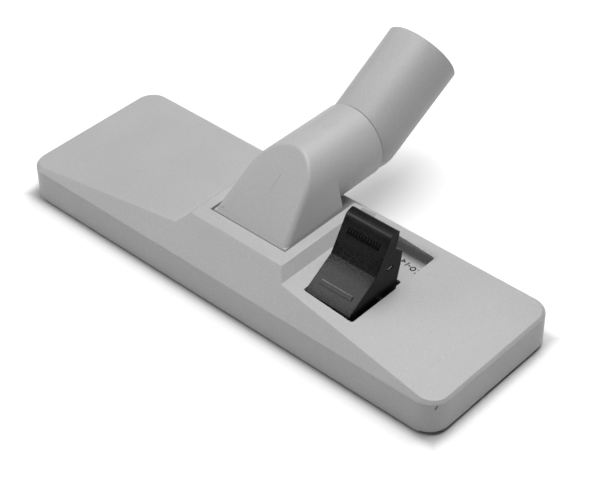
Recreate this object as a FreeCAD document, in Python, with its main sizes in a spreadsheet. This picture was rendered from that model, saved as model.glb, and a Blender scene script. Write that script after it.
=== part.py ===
import FreeCAD, Part
import math
import os
import re

import Sketcher

# Floor head of a vacuum cleaner: a low housing with a hip roof, a tilting neck with a
# swivelling tube, and a rocker pedal that lowers two rows of bristles.
# X is the width, +Y the back where the tube leaves, Z up; the floor is z = 0.

values = {
    # Housing
    "head_width": 290,
    "head_depth": 96.8,
    "corner_radius": 12,
    "corner_point": 0.4,
    "wall_thickness": 2.4,
    "skirt_bottom": 1.7,
    "skirt_margin": 9,
    "edge_height": 20.1,
    "bevel_slope": 0.943,
    "frame_height": 36.1,
    "frame_half": 32.3,
    "frame_slope": 0.944,
    "wing_height": 30.5,
    "wing_slope": 0.084,
    "edge_rounding": 0.9,
    "opening_gap": 0.6,
    "opening_front_gap": 0.7,
    "opening_ledge": 24,
    "notch_gap": 0.2,
    "screen_thickness": 2.0,
    # Pedal well
    "pedal_middle": 63,
    "pedal_width": 29.6,
    "pedal_gap": 2.0,
    "pedal_near_gap": 0.5,
    "pedal_far_gap": 2.2,
    "well_front_gap": 0.8,
    "well_back": 33,
    "well_wall": 1.6,
    "well_bottom": 17.4,
    "well_corner": 1.4,
    "pocket_floor": 2.2,
    "pocket_start": 14,
    "pocket_front": -2,
    "shelf_front": 6.6,
    "shelf_inset": 4,
    # Neck
    "tilt_height": 30,
    "drum_radius": 21.7,
    "drum_gap": 0.3,
    "neck_half": 26.0,
    "shoulder_rise": 3,
    "neck_low": 6,
    "neck_back_gap": 0.4,
    "facet_inset": 1.2,
    "facet_rise": 5.8,
    "facet_slope": 0.952,
    "facet_rounding": 3.2,
    "facet_drop": 8,
    "collar_height": 48.2,
    "collar_radius": 21.4,
    "collar_reach": 12.1,
    "rim_bevel": 0.4,
    "trunnion_radius": 3.2,
    "trunnion_slack": 0.4,
    "running_fit": 0.08,
    "seat_fit": 0.05,
    # Swivel tube
    "tube_step": 0.3,
    "tube_flare": 0.6,
    "spigot_radius": 17.9,
    "spigot_length": 17.5,
    "ring_width": 2.8,
    "ring_lip": 0.8,
    "ring_groove": 1.5,
    "ring_split": 2.4,
    "passage_wall": 1.4,
    "rim_gap": 0.8,
    "mitre_run": 8.7,
    "tube_reach": 56.5,
    "tube_slope": 0.556,
    "socket_radius": 17.5,
    "socket_depth": 38,
    # Sole plate and what it carries
    "sole_margin": 1.4,
    "front_margin": 2.6,
    "back_margin": 1.2,
    "sole_bottom": 0.6,
    "sole_thickness": 1.8,
    "rim_height": 2.0,
    "rim_inset": 1.4,
    "rim_width": 1.4,
    "glide_height": 0.2,
    "mouth_half": 22,
    "mouth_front": 14,
    "mouth_back": 6,
    "bridge_width": 3,
    "channel_margin": 13,
    "channel_front": 11.4,
    "channel_back": 5.4,
    "channel_height": 7.4,
    "channel_fall": 3.6,
    "channel_run": 11.6,
    "channel_wall": 1.8,
    "brush_margin": 18,
    "front_row_gap": 2.9,
    "rear_row_gap": 0.8,
    "brush_bar_width": 5.2,
    "brush_slot_gap": 0.4,
    "strip_width": 4.5,
    "strip_gap": 3.3,
    "rear_strip_gap": 3.8,
    "strip_start": 5.6,
    "strip_recess": 0.4,
    "strip_bottom": 0.15,
    "lip_bottom": 0.3,
    "lip_width": 2.2,
    "lip_seating": 0.8,
    "screw_radius": 1.45,
    "screw_head_radius": 2.9,
    "screw_head_height": 1.4,
    "screw_length": 10,
    "screw_margin": 11,
    "screw_inset": 12.4,
    "middle_screw_inset": 8.4,
    "boss_radius": 3.4,
    "cup_radius": 5,
    "cup_height": 1.6,
    "wheel_radius": 6,
    "wheel_width": 8,
    "wheel_margin": 45,
    "wheel_inset": 9.9,
    "wheel_gap": 2,
    "bracket_width": 3.5,
    "bracket_half": 2.8,
    "bracket_top": 3.4,
    "axle_radius": 1.5,
    # Duct and bearings
    "duct_wall": 1.8,
    "duct_front_wall": 0.6,
    "duct_drop": 2.6,
    "duct_throat": 15,
    "bearing_gap": 0.4,
    "bearing_width": 4.2,
    "bearing_half": 7,
    # Pedal
    "pivot_out": 6,
    "pivot_height": 22,
    "pin_radius": 1.9,
    "pedal_wall": 1.8,
    "tread_front_out": 31.4,
    "tread_front_up": 28.8,
    "tread_nose": 2.6,
    "crease_out": 11.7,
    "crease_up": 41.0,
    "grip_up": 61.7,
    "grip_front": 0,
    "grip_crown": 4.2,
    "grip_back": 6.0,
    "grip_drop": 1.2,
    "grip_depth": 5.8,
    "waist_back": 3.2,
    "waist_up": 51.2,
    "heel_back": 8.6,
    "heel_up": 46.2,
    "heel_depth": 7.6,
    "shin_back": 4.8,
    "shin_up": 29,
    "pedal_foot": 4.0,
    "pedal_bottom": 17.2,
    "brow_rounding": 3.2,
    "grip_rounding": 0.8,
    "crease_rounding": 2.0,
    "rib_inset": 8,
    "rib_width": 1.6,
    "bar_recess": 0.6,
    "bar_rise": 0.5,
    "bar_half": 10.3,
    "bar_width": 2.5,
    "bar_start": 7.0,
    # Spring
    "wire_radius": 0.6,
    "spring_drop": 0.2,
    "coil_radius": 4.2,
    "coil_width": 1.6,
    "spring_inset": 6,
    # Bristle carriage
    "bar_bottom": 8.8,
    "bar_height": 5,
    "beam_bottom": 16,
    "beam_height": 3,
    "beam_half": 2.5,
    "near_beam": 26,
    "far_beam": 35,
    "follower_start": 8.4,
    "follower_width": 5,
    "bristle_bottom": 1.2,
    "bristle_width": 3.6,
}

# A word here stands for its text wherever a size is used
follows = {
    "skirt_half": "head_width / 2 - skirt_margin",
    "shell_bottom": "sole_bottom + sole_thickness",
    "foot_half": "frame_half + frame_slope * (frame_height - wing_height)",
    "opening_half": "neck_half + opening_gap",
    "opening_front": "drum_radius + opening_front_gap",
    "opening_back": "head_depth / 2 - opening_ledge",
    "notch_height": "collar_height - collar_radius - notch_gap",
    "pedal_left": "pedal_middle - pedal_width / 2",
    "well_left": "pedal_left - pedal_gap",
    "well_right": "pedal_right + pedal_far_gap",
    "well_span": "well_right - well_left + 2 * well_wall",
    "well_front": "tread_front_out + well_front_gap",
    "pocket_height": "well_bottom + pocket_floor",
    "neck_shoulder": "tilt_height + shoulder_rise",
    "neck_back": "opening_back - neck_back_gap",
    "facet_foot_out": "drum_radius - facet_inset",
    "facet_foot_up": "tilt_height + facet_rise",
    "facet_low": "facet_foot_up - facet_drop",
    "flank_rise": "collar_height - neck_shoulder",
    "flank_reach": "sqrt(neck_half * neck_half + flank_rise * flank_rise)",
    "flank_lean": "tan(atan(neck_half / flank_rise) - asin(collar_radius / flank_reach))",
    "collar_end": "head_depth / 2 + collar_reach",
    "trunnion_end": "bearing_end - trunnion_slack",
    "tube_radius": "collar_radius - tube_step",
    "spigot_start": "collar_end - spigot_length",
    "ring_end": "spigot_start + ring_width",
    "ring_radius": "spigot_radius + ring_lip",
    "ring_seat": "spigot_radius - ring_groove",
    "passage_radius": "ring_seat - passage_wall",
    "mitre_place": "collar_end + mitre_run",
    "tube_long": "sqrt(1 + tube_slope * tube_slope)",
    "sole_half": "head_width / 2 - sole_margin",
    "sole_front": "head_depth / 2 - front_margin",
    "sole_back": "head_depth / 2 - back_margin",
    "sole_corner": "corner_radius - back_margin",
    "sole_top": "sole_bottom + sole_thickness",
    "lip_half": "head_width / 2 - corner_radius",
    "channel_end": "head_width / 2 - channel_margin",
    "front_strip_place": "channel_front + channel_wall + strip_gap",
    "rear_strip_place": "channel_back + channel_wall + rear_strip_gap",
    "brush_half": "head_width / 2 - brush_margin",
    "brush_bar_half": "brush_bar_width / 2",
    "brush_slot_half": "brush_bar_width / 2 + brush_slot_gap",
    "front_brush_place": "-(duct_front + front_row_gap + brush_bar_half)",
    "rear_brush_place": "duct_back + rear_row_gap + brush_bar_half",
    "end_screw_place": "head_width / 2 - screw_margin",
    "end_screw_depth": "head_depth / 2 - screw_inset",
    "middle_screw_place": "duct_half + channel_run",
    "middle_screw_depth": "head_depth / 2 - middle_screw_inset",
    "boss_bottom": "sole_top + cup_height",
    "wheel_place": "head_width / 2 - wheel_margin",
    "wheel_back": "head_depth / 2 - wheel_inset",
    "wheel_half": "wheel_width / 2",
    "axle_half": "wheel_half + wheel_gap + bracket_width",
    "duct_half": "opening_half + duct_wall",
    "duct_front": "opening_front + screen_thickness + duct_front_wall",
    "duct_back": "opening_back + seat_fit * 4",
    "duct_height": "notch_height - duct_drop",
    "bearing_start": "duct_half + bearing_gap",
    "bearing_end": "bearing_start + bearing_width",
    "pedal_right": "pedal_middle + pedal_width / 2",
    "tread_slope": "(crease_up - tread_front_up) / (tread_front_out - crease_out)",
    "tread_long": "sqrt(1 + tread_slope * tread_slope)",
    "spring_height": "crease_up - spring_drop",
    "spring_middle": "pedal_right - spring_inset",
}

os.makedirs("parts", exist_ok=True)
doc = FreeCAD.newDocument("floor_head")
sizes = doc.addObject("Spreadsheet::Sheet", "Sizes")
for row, (name, number) in enumerate(values.items(), 1):
    sizes.set(f"A{row}", name)
    sizes.set(f"B{row}", str(number))
    sizes.setAlias(f"B{row}", name)
doc.recompute()


def bound(text):
    """A size in words: a word with an underscore is a cell of the sheet or follows from cells."""
    def cell(word):
        name = word.group(0)
        return f"({bound(follows[name])})" if name in follows else "Sizes." + name
    return re.sub(r"[a-z]+(?:_[a-z]+)+", cell, str(text))


def measure(text):
    """The number that a size in words has now."""
    number = sizes.evalExpression(bound(text))
    return float(getattr(number, "Value", number))


def bind(piece, **fields):
    """Ties fields of a piece to sizes in words."""
    for field, text in fields.items():
        piece.setExpression(field, bound(text))


def set_place(piece, x, y, z):
    for axis, text in (("x", x), ("y", y), ("z", z)):
        piece.setExpression("Placement.Base." + axis, bound(text))


# Solids of one step


def box(name, x, y, z):
    """A block between two planes on each axis: each of x, y and z is a pair of sizes."""
    piece = doc.addObject("Part::Box", name)
    length, width, height = (f"({high}) - ({low})" for low, high in (x, y, z))
    bind(piece, Length=length, Width=width, Height=height)
    set_place(piece, x[0], y[0], z[0])
    return piece


def rod(name, centre, radius, length, along="z"):
    """A round bar that starts at its centre point and runs along one axis."""
    piece = doc.addObject("Part::Cylinder", name)
    bind(piece, Radius=radius, Height=length)
    if along == "x":
        piece.Placement.Rotation = FreeCAD.Rotation(FreeCAD.Vector(0, 1, 0), 90)
    if along == "y":
        piece.Placement.Rotation = FreeCAD.Rotation(FreeCAD.Vector(1, 0, 0), -90)
    set_place(piece, *centre)
    return piece


def joined(name, pieces):
    piece = doc.addObject("Part::MultiFuse", name)
    piece.Shapes = pieces
    piece.Refine = True
    return piece


def shared(name, pieces):
    piece = doc.addObject("Part::MultiCommon", name)
    piece.Shapes = pieces
    return piece


def less(name, base, tools):
    """A piece with one or more others cut out of it."""
    piece = doc.addObject("Part::Cut", name)
    piece.Base = base
    piece.Tool = tools[0] if len(tools) == 1 else joined(name + "_tools", tools)
    piece.Refine = True
    return piece


def turn_at(shape, edge):
    """How sharply the two faces of an edge meet, in degrees: 0 where they run on smoothly."""
    middle = edge.valueAt((edge.FirstParameter + edge.LastParameter) / 2)
    faces = shape.ancestorsOfType(edge, Part.Face)
    normals = [face.normalAt(*face.Surface.parameter(middle)) for face in faces]
    return math.degrees(normals[0].getAngle(normals[1])) if len(normals) == 2 else 0


def softened_edges(kind, name, base, chosen, amount):
    """A piece with its chosen sharp edges softened; the choice is made from points along each edge."""
    doc.recompute()
    piece = doc.addObject(kind, name)
    piece.Base = base
    width = measure(amount)
    edges = []
    for number, edge in enumerate(base.Shape.Edges, 1):
        span = edge.LastParameter - edge.FirstParameter
        places = [edge.valueAt(edge.FirstParameter + part * span) for part in (0, 0.3, 0.5, 1)]
        if turn_at(base.Shape, edge) > 15 and chosen(places):
            edges.append((number, width, width))
    piece.Edges = edges
    return piece


def rounded_edges(name, base, chosen, radius):
    return softened_edges("Part::Fillet", name, base, chosen, radius)


def bevelled_edges(name, base, chosen, width):
    return softened_edges("Part::Chamfer", name, base, chosen, width)


# Sketches


def sketch_on(body, name, role, lift):
    plane = [feature for feature in body.Origin.OriginFeatures if feature.Role == role][0]
    sketch = body.newObject("Sketcher::SketchObject", name)
    sketch.AttachmentSupport = [(plane, "")]
    sketch.MapMode = "FlatFace"
    if lift:
        sketch.setExpression("AttachmentOffset.Base.z", bound(lift))
    return sketch


def hold_point(sketch, index, end, across, up):
    """Holds one end of a sketch's line at its place."""
    for kind, text, axis in (("DistanceX", across, -2), ("DistanceY", up, -1)):
        number = measure(text)
        if abs(number) < 1e-7:
            sketch.addConstraint(Sketcher.Constraint("PointOnObject", index, end, axis))
        else:
            place = sketch.addConstraint(Sketcher.Constraint(kind, -1, 1, index, end, number))
            sketch.setExpression(f"Constraints[{place}]", bound(text))


def hold_radius(sketch, index, radius):
    place = sketch.addConstraint(Sketcher.Constraint("Radius", index, measure(radius)))
    sketch.setExpression(f"Constraints[{place}]", bound(radius))


def outline(body, name, role, corners, lift=None):
    """A closed outline of straight sides; each corner is a pair of sizes."""
    sketch = sketch_on(body, name, role, lift)
    places = [FreeCAD.Vector(measure(across), measure(up), 0) for across, up in corners]
    for index, place in enumerate(places):
        sketch.addGeometry(Part.LineSegment(place, places[(index + 1) % len(places)]), False)
    for index in range(len(places)):
        sketch.addConstraint(Sketcher.Constraint("Coincident", index, 2, (index + 1) % len(places), 1))
    for index, (across, up) in enumerate(corners):
        hold_point(sketch, index, 1, across, up)
    return sketch


def circle(body, name, role, centre, radius, lift=None):
    sketch = sketch_on(body, name, role, lift)
    middle = FreeCAD.Vector(measure(centre[0]), measure(centre[1]), 0)
    sketch.addGeometry(Part.Circle(middle, FreeCAD.Vector(0, 0, 1), measure(radius)), False)
    hold_point(sketch, 0, 3, *centre)
    hold_radius(sketch, 0, radius)
    return sketch


def rounded(body, name, x, y, radius, lift):
    """A rectangle with round corners on the ground plane, between two sizes on each axis."""
    sketch = sketch_on(body, name, "XY_Plane", lift)
    ends = [
        (f"({x[0]}) + ({radius})", y[0]), (f"({x[1]}) - ({radius})", y[0]),
        (x[1], f"({y[0]}) + ({radius})"), (x[1], f"({y[1]}) - ({radius})"),
        (f"({x[1]}) - ({radius})", y[1]), (f"({x[0]}) + ({radius})", y[1]),
        (x[0], f"({y[1]}) - ({radius})"), (x[0], f"({y[0]}) + ({radius})"),
    ]
    places = [FreeCAD.Vector(measure(across), measure(up), 0) for across, up in ends]
    turn = measure(radius)
    inward = [FreeCAD.Vector(0, turn, 0), FreeCAD.Vector(-turn, 0, 0),
              FreeCAD.Vector(0, -turn, 0), FreeCAD.Vector(turn, 0, 0)]
    for side in range(4):
        sketch.addGeometry(Part.LineSegment(places[2 * side], places[2 * side + 1]), False)
    for corner in range(4):
        ring = Part.Circle(places[2 * corner + 1] + inward[corner], FreeCAD.Vector(0, 0, 1), turn)
        begin = (corner - 1) * math.pi / 2
        sketch.addGeometry(Part.ArcOfCircle(ring, begin, begin + math.pi / 2), False)
    for side in range(4):
        hold_point(sketch, side, 1, *ends[2 * side])
        hold_point(sketch, side, 2, *ends[2 * side + 1])
        sketch.addConstraint(Sketcher.Constraint("Coincident", side, 2, side + 4, 1))
        sketch.addConstraint(Sketcher.Constraint("Coincident", side + 4, 2, (side + 1) % 4, 1))
        hold_radius(sketch, side + 4, radius)
    return sketch


def feature_of(body, kind, name, sketch):
    feature = body.newObject("PartDesign::" + kind, name)
    feature.Profile = sketch
    return feature


def pad(body, name, sketch, length, middle=False, back=False):
    feature = feature_of(body, "Pad", name, sketch)
    feature.SideType = "Symmetric" if middle else "One side"
    feature.Reversed = back
    bind(feature, Length=length)
    doc.recompute()
    return feature


def pocket_through(body, name, sketch):
    """A cut through everything, to both sides of its sketch."""
    feature = feature_of(body, "Pocket", name, sketch)
    feature.Type = "ThroughAll"
    feature.SideType = "Symmetric"
    doc.recompute()
    return feature


def loft(body, name, low, high):
    feature = feature_of(body, "AdditiveLoft", name, low)
    feature.Sections = [high]
    feature.Ruled = True
    doc.recompute()
    return feature


def new_body(name):
    return doc.addObject("PartDesign::Body", name)


# Housing


def roof_form(name, inset, bottom):
    """The housing's outer form, or the same form moved inwards by the wall."""
    body = new_body(name)
    half = f"(head_width / 2 - {inset})"
    deep = f"(head_depth / 2 - {inset})"
    turn = f"(corner_radius - {inset})"
    shift = f"({inset} * sqrt(1 + bevel_slope * bevel_slope))"
    edge = f"(edge_height - {shift} + bevel_slope * {inset})"
    run = f"({turn} - corner_point)"
    walls = rounded(body, name + "_plan", (f"-{half}", half), (f"-{deep}", deep), turn, bottom)
    pad(body, name + "_walls", walls, f"{edge} - ({bottom})")
    low = rounded(body, name + "_edge", (f"-{half}", half), (f"-{deep}", deep), turn, edge)
    high = rounded(
        body, name + "_crest", (f"-({half} - {run})", f"{half} - {run}"),
        (f"-({deep} - {run})", f"{deep} - {run}"), "corner_point", f"{edge} + bevel_slope * {run}")
    loft(body, name + "_bevel", low, high)
    fall = f"(wing_height - {inset} * sqrt(1 + wing_slope * wing_slope))"
    tip = f"{fall} - wing_slope * (head_width - foot_half)"
    above = outline(body, name + "_wing_lines", "XZ_Plane", [
        ("-head_width", tip), ("0", f"{fall} + wing_slope * foot_half"), ("head_width", tip),
        ("head_width", "frame_height * 3"), ("-head_width", "frame_height * 3")])
    pocket_through(body, name + "_wings", above)
    floor = f"({edge} + bevel_slope * ({run} - 1.5))"
    top = f"(frame_height - {inset})"
    low_frame = frame_rectangle(body, name + "_frame_foot", inset, shift, floor)
    top_frame = frame_rectangle(body, name + "_frame_top", inset, shift, top)
    loft(body, name + "_frame", low_frame, top_frame)
    return body


def frame_rectangle(body, name, inset, shift, level):
    """The raised middle's outline at one height: its sides lean like the bevel."""
    half = (f"(frame_half + frame_slope * (frame_height - {level})"
            f" - {inset} * sqrt(1 + frame_slope * frame_slope))")
    deep = f"(head_depth / 2 - ({level} - edge_height + {shift}) / bevel_slope)"
    return outline(body, name, "XY_Plane", [
        (f"-{half}", f"-{deep}"), (half, f"-{deep}"), (half, deep), (f"-{half}", deep)], level)


screw_places = [
    (sign + x, rank + y)
    for sign in ("-", "")
    for x, y in (("end_screw_place", "end_screw_depth"), ("middle_screw_place", "middle_screw_depth"))
    for rank in ("-", "")
]


def upper_housing():
    level = measure("edge_height") - 0.1
    outer = rounded_edges("outer_softened", roof_form("outer_form", "0", "skirt_bottom"),
                          lambda places: min(place.z for place in places) > level, "edge_rounding")
    inner = roof_form("inner_form", "wall_thickness", "0")
    shell = less("shell", outer, [inner])
    high = "frame_height + 5"
    rib_half = "trunnion_radius + 2.8"
    inside = [
        box("well_block", ("well_left - well_wall", "well_right + well_wall"),
            ("-well_front - well_wall", "well_back + well_wall"), ("well_bottom", high)),
        box("opening_block", ("-opening_half - screen_thickness", "opening_half + screen_thickness"),
            ("-opening_front - screen_thickness", "head_depth / 2"), ("notch_height - 2.2", high)),
        box("trunnion_ribs", ("-bearing_end", "bearing_end"), (f"-({rib_half})", rib_half),
            ("tilt_height + 0.2", high)),
    ]
    for index, (x, y) in enumerate(screw_places):
        inside.append(rod(f"boss_{index}", (x, y, "boss_bottom"), "boss_radius", "frame_height"))
    limit = roof_form("limit_form", "wall_thickness / 4", "0")
    filled = shared("inside_features", [joined("inside_blocks", inside), limit])
    opening_x = ("-opening_half", "opening_half")
    across = ("-head_width", "head_width")
    bottom = ("0", "shell_bottom")
    cuts = [
        box("opening_cut", opening_x, ("-opening_front", "opening_back"), ("0", high)),
        box("notch_cut", opening_x, ("opening_back - 1", "head_depth"), ("notch_height", high)),
        box("trunnion_slot", ("-bearing_end - 1", "bearing_end + 1"),
            ("-trunnion_radius - 0.8", "trunnion_radius + 0.8"), ("0", "tilt_height")),
        rod("trunnion_bore", ("-bearing_end - 1", "0", "tilt_height"), "trunnion_radius + running_fit",
            "2 * bearing_end + 2", "x"),
        rod("pin_bore", ("well_left - well_wall - 1", "-pivot_out", "pivot_height"), "pin_radius + seat_fit",
            "well_span + 2", "x"),
        well_cut("pocket_cut", ("well_left", "well_right"), ("pocket_front", "well_back"), "pocket_height"),
        well_cut("well_cut", ("pedal_left - pedal_near_gap", "well_right"), ("-well_front", "shelf_front"), "0"),
        well_cut("lug_cut", ("well_left", "pedal_right - shelf_inset"), ("pocket_front", "pocket_start"), "0"),
        box("lift_left", ("-head_width", "-skirt_half"), ("-head_depth", "head_depth"), bottom),
        box("lift_right", ("skirt_half", "head_width"), ("-head_depth", "head_depth"), bottom),
        box("lift_back", across, ("-head_depth / 3", "head_depth"), bottom),
    ]
    for index, (x, y) in enumerate(screw_places):
        cuts.append(rod(f"boss_bore_{index}", (x, y, "0"), "screw_radius + seat_fit",
                        "boss_bottom + screw_length"))
    return less("upper_housing", joined("moulding", [shell, filled]), cuts)


def well_cut(name, x, y, bottom):
    body = new_body(name)
    plan = rounded(body, name + "_plan", x, y, "well_corner", bottom)
    pad(body, name + "_pad", plan, "2 * frame_height")
    return body


# Neck


def neck_section(name, radius, half, low, shoulder="neck_shoulder"):
    """The neck seen along the tube: straight flanks that run tangent into the round top."""
    body = new_body(name)
    sketch = sketch_on(body, name + "_section", "XZ_Plane", None)
    centre = FreeCAD.Vector(0, measure("collar_height"), 0)
    turn = measure(radius)
    side = FreeCAD.Vector(measure(half), measure(shoulder), 0)
    reach = math.hypot(side.x, side.y - centre.y)
    angle = math.atan2(side.y - centre.y, side.x) + math.acos(turn / reach)
    touch = FreeCAD.Vector(turn * math.cos(angle), centre.y + turn * math.sin(angle), 0)
    foot = FreeCAD.Vector(side.x, measure(low), 0)
    mirror = [FreeCAD.Vector(-place.x, place.y, 0) for place in (foot, side, touch)]
    ring = Part.Circle(centre, FreeCAD.Vector(0, 0, 1), turn)
    for start, finish in ((mirror[0], foot), (foot, side), (side, touch)):
        sketch.addGeometry(Part.LineSegment(start, finish), False)
    sketch.addGeometry(Part.ArcOfCircle(ring, angle, math.pi - angle), False)
    for start, finish in ((mirror[2], mirror[1]), (mirror[1], mirror[0])):
        sketch.addGeometry(Part.LineSegment(start, finish), False)
    for first, second in ((0, 1), (1, 2), (4, 5), (5, 0)):
        sketch.addConstraint(Sketcher.Constraint("Coincident", first, 2, second, 1))
    sketch.addConstraint(Sketcher.Constraint("Tangent", 2, 2, 3, 1))
    sketch.addConstraint(Sketcher.Constraint("Tangent", 3, 2, 4, 1))
    hold_point(sketch, 0, 1, f"-({half})", low)
    hold_point(sketch, 1, 1, half, low)
    hold_point(sketch, 2, 1, half, shoulder)
    hold_point(sketch, 4, 2, f"-({half})", shoulder)
    hold_point(sketch, 3, 3, "0", "collar_height")
    hold_radius(sketch, 3, radius)
    pad(body, name + "_pad", sketch, "2 * collar_end", middle=True)
    return body


def neck_side(name, inset):
    """The neck seen from the end: sloping front facet, upright back, round drum below."""
    body = new_body(name + "_upper")
    shift = f"({inset} * sqrt(1 + facet_slope * facet_slope) / facet_slope)"
    rise = "(collar_height + collar_radius + 4)"
    start = f"(-facet_foot_out + {shift})"
    sketch = outline(body, name + "_lines", "YZ_Plane", [
        (start, "facet_foot_up"), (f"{start} + ({rise} - facet_foot_up) / facet_slope", rise),
        (f"neck_back - {inset}", rise), (f"neck_back - {inset}", "neck_shoulder"), ("0", "tilt_height")])
    pad(body, name + "_pad", sketch, "3 * neck_half", middle=True)
    drum = rod(name + "_drum", ("-1.5 * neck_half", "0", "tilt_height"), f"drum_radius - {inset}",
               "3 * neck_half", "x")
    front = new_body(name + "_front")
    ahead = outline(front, name + "_front_lines", "YZ_Plane", [
        (f"{start} - facet_rise / facet_slope", "tilt_height"),
        (f"{start} + ({rise} - facet_foot_up) / facet_slope", rise),
        ("-3 * drum_radius", rise), ("-3 * drum_radius", "tilt_height")])
    pad(front, name + "_front_pad", ahead, "4 * neck_half", middle=True)
    return joined(name, [body, less(name + "_drum_below", drum, [front])])


def neck_form(name, inset):
    section = neck_section(name + "_section_form", f"collar_radius - {inset}", f"neck_half - {inset}",
                           "neck_low")
    return shared(name, [section, neck_side(name + "_side", inset)])


def round_the_facet(places):
    """Whether an edge goes round the neck's sloping front."""
    normal = FreeCAD.Vector(0, -measure("facet_slope"), 1)
    foot = FreeCAD.Vector(0, -measure("facet_foot_out"), measure("facet_foot_up"))
    on_facet = all(abs((place - foot).dot(normal)) < 1e-3 for place in places)
    return on_facet and max(place.z for place in places) > measure("facet_low") + 1


def neck_front():
    """The neck above the drum: it is made too long below, rounded along its front and cut off."""
    section = neck_section("front_section", "collar_radius",
                           "neck_half + (neck_shoulder - facet_low) * flank_lean", "facet_low - 2",
                           "facet_low")
    body = new_body("neck_front_upper")
    rise = "(collar_height + collar_radius + 4)"
    lines = outline(body, "neck_front_lines", "YZ_Plane", [
        ("-facet_foot_out - facet_drop / facet_slope", "facet_low"),
        (f"-facet_foot_out + ({rise} - facet_foot_up) / facet_slope", rise),
        ("neck_back", rise), ("neck_back", "neck_shoulder"), ("0", "tilt_height")])
    pad(body, "neck_front_pad", lines, "3 * neck_half", middle=True)
    softened = rounded_edges("neck_softened", shared("neck_front", [section, body]), round_the_facet,
                             "facet_rounding")
    below = box("neck_below", ("-2 * neck_half", "2 * neck_half"), ("-2 * drum_radius", "collar_end"),
                ("0", "facet_foot_up"))
    return less("neck_front_cut", softened, [below])


def neck_body():
    above = box("neck_above", ("-2 * neck_half", "2 * neck_half"), ("-2 * drum_radius", "collar_end"),
                ("facet_foot_up", "2 * collar_height"))
    drum = less("neck_drum", neck_form("neck_block", "0"), [above])
    start = "neck_back - 6"
    collar = rod("collar", ("0", start, "collar_height"), "collar_radius", f"collar_end - ({start})", "y")
    rim = measure("collar_end") - 1e-3
    collar = bevelled_edges("collar_softened", collar, lambda places: min(place.y for place in places) > rim,
                            "rim_bevel")
    trunnion = rod("trunnions", ("-trunnion_end", "0", "tilt_height"), "trunnion_radius",
                   "2 * trunnion_end", "x")
    hollow = neck_form("neck_hollow", "wall_thickness")
    wide_start = "(neck_back - 5)"
    wide_bore = rod("wide_bore", ("0", wide_start, "collar_height"), "collar_radius - wall_thickness",
                    f"ring_end + 0.2 - {wide_start}", "y")
    bore = rod("collar_bore", ("0", "neck_back", "collar_height"), "spigot_radius + running_fit",
               "collar_end", "y")
    mouth = new_body("neck_mouth")
    swing = outline(mouth, "neck_mouth_lines", "YZ_Plane", [
        ("0", "tilt_height"), ("-drum_radius * 1.3", "tilt_height - drum_radius * 0.474"),
        ("-drum_radius * 1.3", "-2"), ("drum_radius * 0.3", "-2")])
    pad(mouth, "neck_mouth_pad", swing, "2 * mouth_half", middle=True)
    outside = joined("neck_outside", [neck_front(), drum, collar, trunnion])
    return less("neck_body", outside, [hollow, wide_bore, bore, mouth])


# Swivel tube


def tube_run(body, name, radius, start):
    """A pipe of one radius along the elbow's two straight runs, rounded outside where they meet."""
    path = sketch_on(body, name + "_path", "YZ_Plane", None)
    corners = [(start, "collar_height"), ("mitre_place", "collar_height"),
               ("mitre_place + tube_reach / tube_long",
                "collar_height + tube_reach * tube_slope / tube_long")]
    places = [FreeCAD.Vector(measure(across), measure(up), 0) for across, up in corners]
    path.addGeometry(Part.LineSegment(places[0], places[1]), False)
    path.addGeometry(Part.LineSegment(places[1], places[2]), False)
    path.addConstraint(Sketcher.Constraint("Coincident", 0, 2, 1, 1))
    hold_point(path, 0, 1, *corners[0])
    hold_point(path, 0, 2, *corners[1])
    hold_point(path, 1, 2, *corners[2])
    ring = circle(body, name + "_ring", "XZ_Plane", ("0", "collar_height"), radius, f"-({start})")
    pipe = feature_of(body, "AdditivePipe", name, ring)
    pipe.Spine = path
    pipe.Transition = "Round corner"
    doc.recompute()
    return pipe


def swivel_tube():
    turn = math.degrees(math.atan(measure("tube_slope")))
    ball = doc.addObject("Part::Sphere", "tube_ball")
    bind(ball, Radius="tube_radius")
    set_place(ball, "0", "mitre_place", "collar_height")
    arm = doc.addObject("Part::Cone", "tube_arm")
    bind(arm, Radius1="tube_radius", Radius2="tube_radius + tube_flare", Height="tube_reach")
    set_place(arm, "0", "mitre_place", "collar_height")
    arm.Placement.Rotation = FreeCAD.Rotation(FreeCAD.Vector(1, 0, 0), turn - 90)
    run = FreeCAD.Vector(0, 1, measure("tube_slope")).normalize()
    elbow = FreeCAD.Vector(0, measure("mitre_place"), measure("collar_height"))
    end = measure("tube_reach") - 1e-3
    arm = bevelled_edges("tube_softened", arm,
                         lambda places: min((place - elbow).dot(run) for place in places) > end, "rim_bevel")
    behind = box("tube_limit", ("-2 * tube_radius", "2 * tube_radius"),
                 ("collar_end - 2 * tube_radius", "collar_end + rim_gap"), ("0", "2 * collar_height"))
    outside = less("tube_outside", joined("tube_skin", [ball, arm]), [behind])
    passage = new_body("tube_passage")
    tube_run(passage, "tube_air", "passage_radius", "spigot_start - 2")
    spigot = rod("spigot", ("0", "ring_end", "collar_height"), "spigot_radius",
                 "mitre_place - 2 - ring_end", "y")
    seat = rod("ring_seat_bar", ("0", "spigot_start", "collar_height"), "ring_seat",
               "ring_width + 2", "y")
    reach = "(tube_reach - socket_depth)"
    socket = rod("socket_bore", ("0", f"mitre_place + {reach} / tube_long",
                                 f"collar_height + {reach} * tube_slope / tube_long"),
                 "socket_radius", "socket_depth + 5")
    socket.Placement.Rotation = FreeCAD.Rotation(FreeCAD.Vector(1, 0, 0), turn - 90)
    return less("swivel_tube", joined("tube_solid", [outside, spigot, seat]), [passage, socket])


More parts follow.
